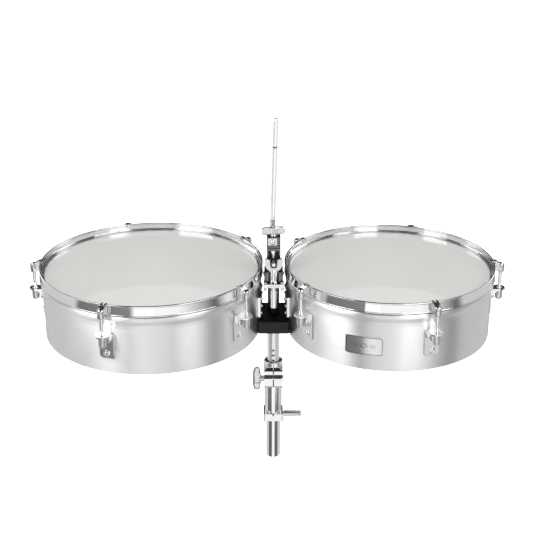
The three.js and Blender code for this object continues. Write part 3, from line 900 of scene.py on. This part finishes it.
def add_shell_bracket(drum):
    """The bracket, its four bolts and the six rivets of its two loops."""
    turn = Matrix.Identity(4) if drum.facing > 0 else Matrix.Rotation(math.pi, 4, "Z")
    place = drum_place(drum) @ turn
    name = f"{drum.side}_shell_bracket"
    add_piece(f"{name}_fine", shell_bracket_mesh(drum), CHROME, drum.body, [name], place)
    bolts = []
    for y in (-14, 14):
        for z in (BRACKET_LOW + 5.5, BRACKET_HIGH - 5.5):
            bolt = joined(bar(4.6, 0, 0.9, 0.25, 32, axis="X"), hex_bar(7, 0.8, 3.3, axis="X"))
            bolt = moved(bolt, x=drum.shell_r + 1.2)
            bolt.transform(Matrix.Rotation(y / drum.shell_r, 4, "Z"))
            bolts.append(moved(bolt, z=z))
    for way in (-1, 1):
        for z in (BRACKET_LOW + 5, (BRACKET_LOW + BRACKET_HIGH) / 2, BRACKET_HIGH - 5):
            bolt = moved(bar(2.9, 0, 2.1, 0.9, 32, axis="X"), x=drum.shell_r + 5.2)
            bolt.transform(Matrix.Rotation(way * 29 / drum.shell_r, 4, "Z"))
            bolts.append(moved(bolt, z=z))
    add_piece(f"{name}_bolts", merged(*bolts), CHROME, drum.body, (), place)


def badge_parts(drum):
    """A curved plate with a sunk border line, a plain lozenge and three short ribs at each side of it."""
    low, high = z_span("badge")
    half = 32.4
    middle = (low + high) / 2

    def inset(edge, radius):
        return rounded_rectangle((-half + edge, half - edge), (low + edge, high - edge), radius, 8)

    def lozenge(wide, tall):
        return [(-wide, middle), (0, middle - tall), (wide, middle), (0, middle + tall)]

    plate = prism(inset(0, 5), 0.2, 1.05, 0.22, 3, "X")
    for outer, inner in ((inset(1.3, 4), inset(2.3, 3.2)), (lozenge(7, 4.6), lozenge(5.6, 3.7))):
        plate = cut(plate, cut(prism(outer, 0.75, 2, 0, axis="X"), prism(inner, 0, 3, 0, axis="X")))
    for way in (-1, 1):
        for offset in (-2.2, 0, 2.2):
            reach = (way * 10.5, way * (22 - abs(offset) * 1.6))
            height = middle + offset
            plate = cut(plate, block((0.75, 2), sorted(reach), (height - 0.25, height + 0.25), 0))
    sunk = prism(rounded_rectangle((-half + 1, half - 1), (low + 1, high - 1), 4), 0.4, 0.8, 0, axis="X")
    return [wrap(part, drum.shell_r, 2.0) for part in (plate, sunk)]


def add_badge():
    low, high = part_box("badge")
    centre = (low + high) / 2
    turn = math.atan2(centre.y, centre.x - RIGHT.x * MM)
    place = drum_place(RIGHT) @ Matrix.Rotation(turn, 4, "Z")
    plate, sunk = badge_parts(RIGHT)
    add_piece("badge_plate", plate, BADGE, RIGHT.body, ["badge"], place)
    add_piece("badge_engraving", sunk, ENGRAVED, RIGHT.body, (), place)


# ------------------------------------------------------------------ stand
SPIKE_Y = -19
BOLT_Y, BOLT_Z = -22.5, 171
TUBE_STOP = 150.4  # the lower tube ends here, and the bushing begins
TILT_Z = 400
LEG_Z = 438.7
ROD_X = -2
ROD_LEAN = math.radians(1.44)


LOFT_STEPS = 6  # rings between two sections


def loft(sections, sides=48, axis="Z"):
    """A rounded cast form. A section is (place, centre u, centre v, half u, half v, squareness)."""
    rows = []
    for first, second in zip(sections, sections[1:]):
        for k in range(LOFT_STEPS):
            t = k / LOFT_STEPS
            ease = t * t * (3 - 2 * t)
            row = [a + (b - a) * ease for a, b in zip(first, second)]
            row[0] = first[0] + (second[0] - first[0]) * t
            rows.append(row)
    rows.append(list(sections[-1]))
    bm = bmesh.new()
    rings = []
    for place, u, v, half_u, half_v, square in rows:
        ring = []
        for i in range(sides):
            c, s = math.cos(2 * math.pi * i / sides), math.sin(2 * math.pi * i / sides)
            x = u + half_u * math.copysign(abs(c) ** (2 / square), c)
            y = v + half_v * math.copysign(abs(s) ** (2 / square), s)
            ring.append(bm.verts.new((x, y, place)))
        rings.append(ring)
    return turn_to(skinned(bm, rings), axis)


def sweep(path, sides):
    """A round bar along (y, z, radius) stations in the plane x = 0."""
    bm = bmesh.new()
    rings = []
    for i, (y, z, radius) in enumerate(path):
        before, after = path[max(0, i - 1)], path[min(len(path) - 1, i + 1)]
        along = Vector((0, after[0] - before[0], after[1] - before[1])).normalized()
        across = along.cross(Vector((1, 0, 0)))
        ring = []
        for k in range(sides):
            angle = 2 * math.pi * k / sides
            offset = Vector((1, 0, 0)) * math.cos(angle) + across * math.sin(angle)
            ring.append(bm.verts.new(Vector((0, y, z)) + offset * radius))
        rings.append(ring)
    return skinned(bm, rings)


def ring_form(inner, outer, low, high, edge=0.6, sides=96):
    return lathe(fillet([(inner, low), (outer, low), (outer, high), (inner, high)], edge), sides, closed=True)


def add_lower_tube():
    """The stand's tube with its end plug."""
    outline = [(0, 0.6), (7.4, 0.6), (8, 0), (11.1, 0), (11.2, 14), (0, 14)]
    plug = turned(outline, [0, 0.3, 0.3, 1.2, 0.4, 0], 64)
    add_piece("tube_end_plug_fine", plug, NYLON, "stand_base", ["tube_end_plug"])
    tube = ring_form(11.5, 12.7, 0, 150, 0.45)
    add_piece("lower_tube_fine", tube, CHROME, "stand_base", ["lower_tube"])


def add_memory_lock():
    """A split square collar on the tube, with a dark pin in the top of its split that paints the split's
    shade, and its T-bolt.
    """
    low, high = z_span("memory_lock_collar")
    middle = (low + high) / 2
    reach = 17.8
    square = fillet([(-reach, -reach), (reach, -reach), (reach, reach), (-reach, reach)], 2.6, 8)
    collar = joined(prism(square, low, high, 1.2, 3), bar(6.4, 14, 18, 1.0, 40, (0, middle), "X"))
    around = bar(13.0, low - 1, high + 1, 0)
    slit = block((-1.7, 1.7), (-20, 0), (low - 1, high + 1), 0)
    hole = bar(3.3, 8, 22, 0, 24, (0, middle), "X")
    collar = bevel(cut(collar, around, slit, hole), 0.35, 2, 60)
    add_piece("memory_collar_fine", collar, CHROME, "stand_base", ["memory_lock_collar"])
    # A dark pin in the top of the split: painted shade for the gap there.
    pin = bar(1.5, -15.2, -12.9, 0.3, 24, (0, middle + 3.5), "Y")
    add_piece("memory_collar_split_shade_pin", pin, DARK_STEEL_AND_PAINTED_SHADE, "stand_base")
    profile = [(0, 13.6), (3, 13.6), (3, 18.8), (5.2, 18.8), (5.2, 44), (4.4, 44.3), (4.4, 45.5), (5.2, 45.8),
               (5.2, 52), (0, 52)]
    bolt = turned(profile, [0, 0.4, 0.1, 0.5, 0.3, 0.2, 0.2, 0.3, 3.2, 0], 48, 6)
    bolt = moved(turn_to(bolt, "X"), z=middle)
    add_piece("memory_bolt_fine", bolt, WING_SATIN, "memory_bolt", ["memory_lock_bolt"])


def add_height_clamp():
    """The receiver with its split ears, the nut and wing bolt across them, and the bushing inside."""
    low, high = z_span("height_clamp")
    receiver = ring_form(13.0, 15.5, low, 154, 0.8)
    ring = ring_form(13.8, 16.9, TUBE_STOP, high, 1.0)
    nose = [(0, 152), (-17, 152), (-25, 153), (-28.2, 157), (-28.2, 172.4), (-23.2, 178), (-23.2, 185),
            (-17, 189.5), (0, 189.5)]
    ears = prism(fillet(nose, [0.5, 3, 4, 4, 1.2, 0.8, 2.5, 3, 0.5], 6), -17, 17, 0.9, 3, "X")
    around = bar(13.0, low - 1, TUBE_STOP, 0)
    inside = bar(13.8, TUBE_STOP, high + 1, 0)
    body = cut(joined(receiver, ring, ears), around, inside)
    slit = block((-1, 1), (-30, 0), (151, high + 1), 0)
    body = cut(body, slit, bar(4.0, -20, 20, 0, 32, (BOLT_Y, BOLT_Z), "X"))
    body = bevel(body, 0.4, 2, 62)
    add_piece("height_clamp_fine", body, CHROME, "stand_base", ["height_clamp"])
    nut = hex_bar(11, 14.6, 17.9, (BOLT_Y, BOLT_Z), "X", 0.5)
    add_piece("clamp_nut", nut, CHROME, "stand_base")
    bush = ring_form(11.4, 13.5, TUBE_STOP, high, 0.5)
    bush = cut(bush, block((-0.8, 0.8), (-16, 0), (high - 30, high + 1), 0))
    add_piece("clamp_bushing_fine", bush, NYLON, "bushing", ["clamp_bushing"])
    stem = [(0, -26), (5.6, -26), (5.2, -22), (5.5, -17.4), (3.9, -17.2), (3.9, 16.4), (0, 16.4)]
    stem = turn_to(turned(stem, [0, 0.8, 2, 0.8, 0.2, 0.8, 0]), "X")
    wing = loft([(-22.5, 0, 0, 2.6, 1.6, 2.2), (-21.2, 0, 0, 5.0, 3.0, 2.4), (-17, 0, 0, 6.4, 3.9, 2.8),
                 (-10, -0.4, 0, 7.4, 3.2, 3), (-5, 0, 0, 7.8, 4.3, 3), (0, 0.3, 0, 7.6, 4.5, 3),
                 (5, 0, 0, 7.8, 4.3, 3), (10, -0.4, 0, 7.4, 3.2, 3), (17, 0, 0, 6.4, 3.9, 2.8),
                 (21.2, 0, 0, 5.0, 3.0, 2.4), (22.5, 0, 0, 2.6, 1.6, 2.2)])
    handle = joined(moved(wing, x=-30), stem)
    handle = moved(handle, y=BOLT_Y, z=BOLT_Z)
    add_piece("clamp_wing_fine", handle, WING_SATIN, "clamp_bolt", ["clamp_wing_bolt"])


def add_pole():
    low, high = z_span("pole")
    tube = ring_form(9.6, 11.1, low, high, 0.4)
    tube = cut(tube, *(bar(2.1, -16, -5, 0, 24, (0, z), "Y") for z in (201, 211, 221)))
    add_piece("pole_fine", tube, POLE_SATIN, "pole_and_head", ["pole"])


def head_block_outline(half_depth, front_half):
    """Flat in front and behind, and hollowed at each side to the curve of the shell it holds."""
    steps = 28
    outline = []
    for drum, way in ((RIGHT, 1), (LEFT, -1)):
        radius = drum.shell_r + 0.7
        outline.append((way * front_half, -way * half_depth))
        for i in range(steps + 1):
            y = way * (half_depth - 2.4) * (2 * i / steps - 1)
            outline.append((drum.x + drum.facing * math.sqrt(radius * radius - y * y), y))
        outline.append((way * front_half, way * half_depth))
    return outline


def prong_mesh(drum, way):
    """One curved finger of the head, bent to the shell it carries."""
    corners = [(23.2, 284), (34.8, 284), (34.8, 352), (23.2, 352)]
    outline = fillet([(way * y, z) for y, z in corners], [0.1, 0.1, 2.5, 2.5])
    return wrap(prism(outline, 1.65, 3.55, 0.4, 2, "X"), drum.shell_r, 2.0)


def add_head():
    """Black head block, the prongs that carry the drums, its screws and the neck post."""
    low, block_top = node_box("head_block")[0].z, 292.5
    body = prism(head_block_outline(43, 26), low, block_top, 0.9, 3)
    body = cut(body, bar(11.4, low - 1, block_top - 5, 0, 64))
    add_piece("head_block_fine", body, BLACK, "pole_and_head", ["head_block"])
    for drum in DRUMS:
        for way in (-1, 1):
            turn = Matrix.Identity(4) if drum.facing > 0 else Matrix.Rotation(math.pi, 4, "Z")
            where = drum_place(drum) @ turn
            kind = f"{drum.side}_prong_{'front' if way * drum.facing < 0 else 'back'}"
            add_piece(kind, prong_mesh(drum, way), BLACK, "pole_and_head", (), where)
    spots = [(x, y) for x in (-17, 17) for y in (-30, 30)]
    screws = merged(*(moved(turn_to_up(screw_head(3.6, 1.8)), x=x, y=y, z=block_top) for x, y in spots))
    add_piece("head_screws", screws, BLACK, "pole_and_head", ())
    under = merged(*(turn_down(hex_bar(8, -low, -low + 3.21, spot)) for spot in spots))
    add_piece("head_under_bolts", under, CHROME, "pole_and_head")
    post = bar(10.25, block_top + 0.3, 372, 0.7, 64)
    add_piece("neck_post_fine", post, BLACK, "pole_and_head", ["neck_post"])


def turn_to_up(bm):
    """From lying with its back on x = 0 to standing on z = 0."""
    bm.transform(Matrix.Rotation(-math.pi / 2, 4, "Y"))
    return bm


def turn_down(bm):
    bm.transform(Matrix.Rotation(math.pi, 4, "X"))
    return bm


def add_post_clamp():
    """Cross rail, and the clamp that holds the spike post against the neck post."""
    low, high = z_span("post_clamp")
    rail_top = low - 0.3
    rail = block((-17.5, 18), (-31, -10.55), (rail_top - 7.5, rail_top), 1.0, 3)
    groove = block((-11.5, 12), (-33, -29.9), (rail_top - 4.6, rail_top - 2.8), 0.3)
    hole = bar(7.5, 350, 382, 0, 48, (0, SPIKE_Y))
    rail = cut(rail, groove, hole)
    pins = merged(*(bar(2.7, 346, 362, 1.6, 32, (x, -27)) for x in (-14.6, 15.1)))
    add_piece("cross_bar_fine", rail, CHROME, "pole_and_head", ["cross_bar"])
    add_piece("cross_bar_pins", pins, ROD_SATIN, "pole_and_head")
    body = prism(rounded_rectangle((-16.5, 16.5), (-23.5, 15), 5.5, 8), low, high, 1.2, 3)
    mouth = [(-10.5, -25), (10.5, -25), (7.4, -20.5), (7.4, SPIKE_Y), (-7.4, SPIKE_Y), (-7.4, -20.5)]
    mouth = prism(mouth, 359, 381, 0)
    sides = [block((way * 13.2 - 1.1, way * 13.2 + 1.1), (-25, -22.2), (363, 377), 0.3) for way in (-1, 1)]
    body = cut(body, hole, mouth, bar(10.55, 359, 372.3, 0, 64), *sides)
    body = bevel(body, 0.3, 2, 70)
    # The clamp's dark chrome is painted shade, for the dark reflections round the middle of the stand.
    add_piece("post_clamp_fine", body, CHROME_WITH_PAINTED_SHADE, "pole_and_head", ["post_clamp"])
    screws = []
    for way in (-1, 1):
        head = moved(screw_head(4.2, 2.2), x=16.4, z=(low + high) / 2)
        if way < 0:
            head.transform(Matrix.Rotation(math.pi, 4, "Z"))
        screws.append(moved(head, y=-4))
    add_piece("post_clamp_screws", merged(*screws), CHROME, "pole_and_head")


def add_spike_post():
    low, high = z_span("spike_post")
    outline = [(0, low), (1.0, low + 0.2), (7.15, low + 7), (7.2, high - 1), (6.6, high), (0, high)]
    spike = moved(turned(outline, [0, 0.4, 1.2, 0.4, 0.3, 0], 64, 6), y=SPIKE_Y)
    add_piece("spike_post_fine", spike, NUT_CHROME, "post", ["spike_post"])


def disc_with_teeth(radius, low, high, toothed_high):
    """A tilter disc along Y, with radial teeth on one face."""
    disc = bar(radius, low, high, 0.7, 64, (0, TILT_Z), "Y")
    face = high if toothed_high else low
    reach = (face - 0.45, face + 1) if toothed_high else (face - 1, face + 0.45)
    cuts = []
    for k in range(24):
        tooth = block((5, radius + 1), reach, (-0.35, 0.35), 0)
        tooth.transform(Matrix.Rotation(k * math.pi / 12, 4, "Y"))
        cuts.append(moved(tooth, z=TILT_Z))
    return cut(disc, *cuts)


def add_tilter():
    """Toothed lower and upper halves on a hinge bolt, and the butterfly nut that locks them."""
    y = SPIKE_Y
    neck = bar(9, 379.9, 392, 1.0, 64, (0, y))
    upper_room = bar(11.9, y - 10, y + 0.3, 0, 64, (0, TILT_Z), "Y")
    neck = cut(neck, upper_room, bar(7.35, 375, 386.2, 0, 40, (0, y)))
    disc = disc_with_teeth(11, y + 0.25, y + 9, False)
    rim = [bar(11.6, y + 1.6 + 2.2 * k, y + 2.2 + 2.2 * k, 0, 64, (0, TILT_Z), "Y") for k in range(3)]
    inner = bar(10.5, y, y + 10, 0, 64, (0, TILT_Z), "Y")
    disc = cut(disc, *(cut(one, inner) for one in rim))
    add_piece("tilter_lower_fine", merged(disc, neck), NUT_CHROME, "post", ["tilter_lower"])
    shaft = moved(turn_to(threaded_rod(3.0, y - 20.9, y + 11.9, y - 20.2, y - 9.5, 0.9), "Y"), z=TILT_Z)
    add_piece("tilter_hinge_bolt", mesh_of("tilter_hinge_bolt", shaft, 60), CHROME, "post")
    cap = hex_bar(9, y + 9, y + 11.9, (0, TILT_Z), "Y", 0.5)
    add_piece("tilter_hinge_head", cap, CHROME, "post")

    front, back = y - 9, y - 0.15
    upper_disc = disc_with_teeth(11, front, back, True)
    sides = fillet([(-12, TILT_Z + 3), (12, TILT_Z + 3), (12, 426.9), (-12, 426.9)], [4, 4, 0.8, 0.8], 5)
    body = prism(sides, front, back, 0.7, 3, "Y")
    recess = prism(fillet([(-8.8, TILT_Z + 6), (8.8, TILT_Z + 6), (9.6, 422), (-9.6, 422)], 1.5), front - 1,
                   front + 3.2, 0, axis="Y")
    shelf = block((-12, 12), (front, y + 9), (TILT_Z + 22, 426.9), 0.7, 3)
    groove = block((-9.5, 9.5), (front - 1, front + 1.0), (423.2, 424.4), 0.1)
    bore = bar(3.3, front - 1, back + 1, 0, 32, (0, TILT_Z), "Y")
    body = cut(joined(body, upper_disc, shelf), recess, groove, bore)
    body = joined(body, bar(4, 426, 431.4, 0.4, 32, (0, y)))
    # The upper half's dark chrome is painted shade, for the dark reflections round the middle of the stand.
    add_piece("tilter_upper_fine", body, CHROME_WITH_PAINTED_SHADE, "tilter_head", ["tilter_upper"])
    well = fillet([(-9, TILT_Z + 5.8), (9, TILT_Z + 5.8), (9.8, 422.2), (-9.8, 422.2)], 1.5)
    well = prism(well, front + 3.0, front + 3.5, 0.1, axis="Y")
    add_piece("tilter_well", well, BLACK, "tilter_head")
    tongue = tapered_tongue(front + 3.3)
    add_piece("tilter_tongue", tongue, CHROME, "tilter_head")

    nut_front = y - 19
    half = [(-3.5, -12.6), (-11, -9.5), (-15.2, -2), (-16.4, 5), (-14.6, 10.2), (-10, 10.4), (-6.6, 7.5),
            (-6.0, -2.5), (-4, -6.0)]
    half = fillet(half, [1.5, 4, 5, 4, 3, 2.4, 2.2, 2.2, 1.5], 6)
    outline = [(x, TILT_Z + z) for x, z in half]
    outline += [(-x, TILT_Z + z) for x, z in reversed(half)]
    wings = prism(outline, nut_front, nut_front + 6.6, 1.3, 4, "Y")
    nut_back = nut_front + 7.4
    hub = fillet([(3.35, nut_front + 0.2), (5.0, nut_front), (6.0, nut_back), (3.35, nut_back)], 0.6)
    hub = moved(turn_to(lathe(hub, 48, closed=True), "Y"), z=TILT_Z)
    add_piece("tilter_nut_wings", wings, WING_SATIN, "tilter_nut", ["tilter_wing_nut"])
    add_piece("tilter_nut_hub", hub, DARK_STEEL_AND_PAINTED_SHADE, "tilter_nut")


def tapered_tongue(back):
    """A wedge with sloping facets that points down inside the tilter's front recess."""
    bm = bmesh.new()
    top_z, tip_z = 421.6, TILT_Z + 7
    top = [bm.verts.new((x, y, top_z)) for x, y in ((-5.2, back), (5.2, back), (1.2, back - 2.9))]
    tip = [bm.verts.new((x, y, tip_z)) for x, y in ((-1.6, back), (2.2, back), (0.6, back - 1.8))]
    bm.faces.new(top)
    bm.faces.new(list(reversed(tip)))
    for i in range(3):
        j = (i + 1) % 3
        bm.faces.new((top[i], top[j], tip[j], tip[i]))
    return bevel(clean(bm), 0.3)


def add_rod_block():
    """The block that holds the rod's leg, with its bright face and its wing bolt."""
    y = SPIKE_Y
    low, high = 428, 446.9
    body = prism(rounded_rectangle((-12, 12), (y - 9.9, y + 10), 6.4, 8), low, high, 1.0, 3)
    plate = block((-12, 12), (y - 10, y + 10), (low, low + 3), 0.6, 3)
    waist = [block((way * 12 - 0.7, way * 12 + 0.7), (y - 12, y + 12), (431.4, 432.6), 0) for way in (-1, 1)]
    front_line = block((-13, 13), (y - 11, y - 9.2), (431.4, 432.6), 0)
    sink = turned([(0, -1), (7.0, -1), (5.2, 1.2), (0, 1.2)], [0, 0.1, 0.3, 0], 48, 4)
    sink = moved(turn_to(sink, "Y"), x=ROD_X, y=y - 9.9, z=LEG_Z)
    holes = [bar(5.05, y - 12, y + 12, 0, 48, (ROD_X, LEG_Z), "Y"), bar(3.3, LEG_Z, 448, 0, 32, (0, y)),
             bar(4.3, low - 1, 432, 0, 32, (0, y))]
    body = cut(joined(body, plate), front_line, sink, *waist, *holes)
    body = bevel(body, 0.25, 2, 62)
    # The block's dark chrome is painted shade, for the dark reflections between the drums; its face plate
    # stays bright chrome.
    add_piece("rod_block_fine", body, CHROME_WITH_PAINTED_SHADE, "rod_clamp", ["rod_block"])
    face = rounded_rectangle((ROD_X - 7.6, ROD_X + 7.6), (432.8, 445.6), 2.2)
    rod_room = bar(5.3, y - 12, y - 8, 0, 48, (ROD_X, LEG_Z), "Y")
    face = cut(prism(face, y - 10.1, y - 9.6, 0.2, axis="Y"), rod_room)
    add_piece("rod_block_face", face, NUT_CHROME, "rod_clamp")
    stem = [(0, LEG_Z + 5.2), (3, LEG_Z + 5.2), (3, 447.2), (6.0, 447.4), (4.6, 450), (4.2, 456),
            (3.9, 463.0), (0, 463.3)]
    stem = turned(stem, [0, 0.3, 0.1, 0.6, 2, 2, 1, 0])
    wing = loft([(-20.8, 0.2, 0, 3.6, 1.0, 2.4), (-20.0, 0.2, 0, 6.4, 2.3, 2.8), (-16, 0.1, 0, 7.5, 2.5, 3.6),
                 (-9, 0.0, 0, 7.6, 2.3, 3.6), (-4, 0, 0, 7.6, 3.4, 3.4), (0, 0, 0, 7.6, 4.4, 3),
                 (4, 0, 0, 7.6, 3.4, 3.4), (9, -0.2, 0, 7.4, 2.3, 3.6), (16, -0.6, 0, 6.8, 2.5, 3.6),
                 (20.0, -1.0, 0, 5.6, 2.3, 2.8), (20.8, -1.0, 0, 3.0, 1.0, 2.4)], axis="X")
    wing = moved(wing, z=456.2)
    handle = joined(wing, stem)
    handle.transform(Matrix.Rotation(math.radians(8), 4, "Z"))
    handle = moved(handle, y=y)
    add_piece("rod_wing_fine", handle, WING_SATIN, "rod_bolt", ["rod_wing_bolt"])


def add_accessory_rod():
    """A level leg through the block, a quarter bend, then the upright with a ring groove near its top."""
    r, upright, bend, top = 4.72, 7.0, 10.0, node_box("accessory_rod")[1].z
    path = [(-29.5, LEG_Z, 2.4), (-29.3, LEG_Z, 3.6), (-28.6, LEG_Z, 4.4), (-27.6, LEG_Z, r)]
    path += [(-27 + 24.0 * k / 6, LEG_Z, r) for k in range(1, 7)]
    for k in range(1, 11):
        turn = k * math.pi / 20
        path.append((upright - bend + bend * math.sin(turn), LEG_Z + bend - bend * math.cos(turn), r))
    shapes = [(460, r), (480, r), (598.6, r), (599.2, r - 0.5), (601.4, r - 0.5), (602, r), (640, r),
              (top - 4, r), (top - 2.2, r * 0.9), (top - 1.1, r * 0.7), (top - 0.5, r * 0.35)]
    path += [(upright, z, radius) for z, radius in shapes]
    rod = sweep(path, 40)
    dot = bar(1.1, -29.9, -29.3, 0.1, 20, (0, LEG_Z), "Y")
    # A dark threaded grip on the upright. Its dark steel is partly painted shade, for the shadow in the
    # threaded band.
    grip = moved(threaded_rod(4.9, 451.5, 467.5, 452.3, 466.7, 1.6, 40), y=upright)
    # A dark ring laid in the groove: painted shade for the groove's hollow.
    groove = ring_form(r - 0.6, r - 0.1, 599.3, 601.3, 0.1, 40)
    groove = moved(groove, y=upright)
    lean = Matrix.Translation((ROD_X, 0, LEG_Z)) @ Matrix.Rotation(ROD_LEAN, 4, "Y")
    lean = lean @ Matrix.Translation((0, 0, -LEG_Z))
    for name, form, material, stands_for in (
        ("accessory_rod_fine", rod, ROD_SATIN, ["accessory_rod"]),
        ("accessory_rod_end", dot, DARK_STEEL_AND_PAINTED_SHADE, ()),
        ("accessory_rod_knurl_and_shade", grip, DARK_STEEL_AND_PAINTED_SHADE, ()),
        ("accessory_rod_groove_shade", groove, DARK_STEEL_AND_PAINTED_SHADE, ()),
    ):
        form.transform(lean)
        add_piece(name, form, material, "rod", stands_for)


def add_stand():
    add_lower_tube()
    add_memory_lock()
    add_height_clamp()
    add_pole()
    add_head()
    add_post_clamp()
    add_spike_post()
    add_tilter()
    add_rod_block()
    add_accessory_rod()


build_studio()
for one in DRUMS:
    add_drum(one)
    add_lug_stations(one)
    add_shell_bracket(one)
add_badge()
add_stand()
add_shell_lights()
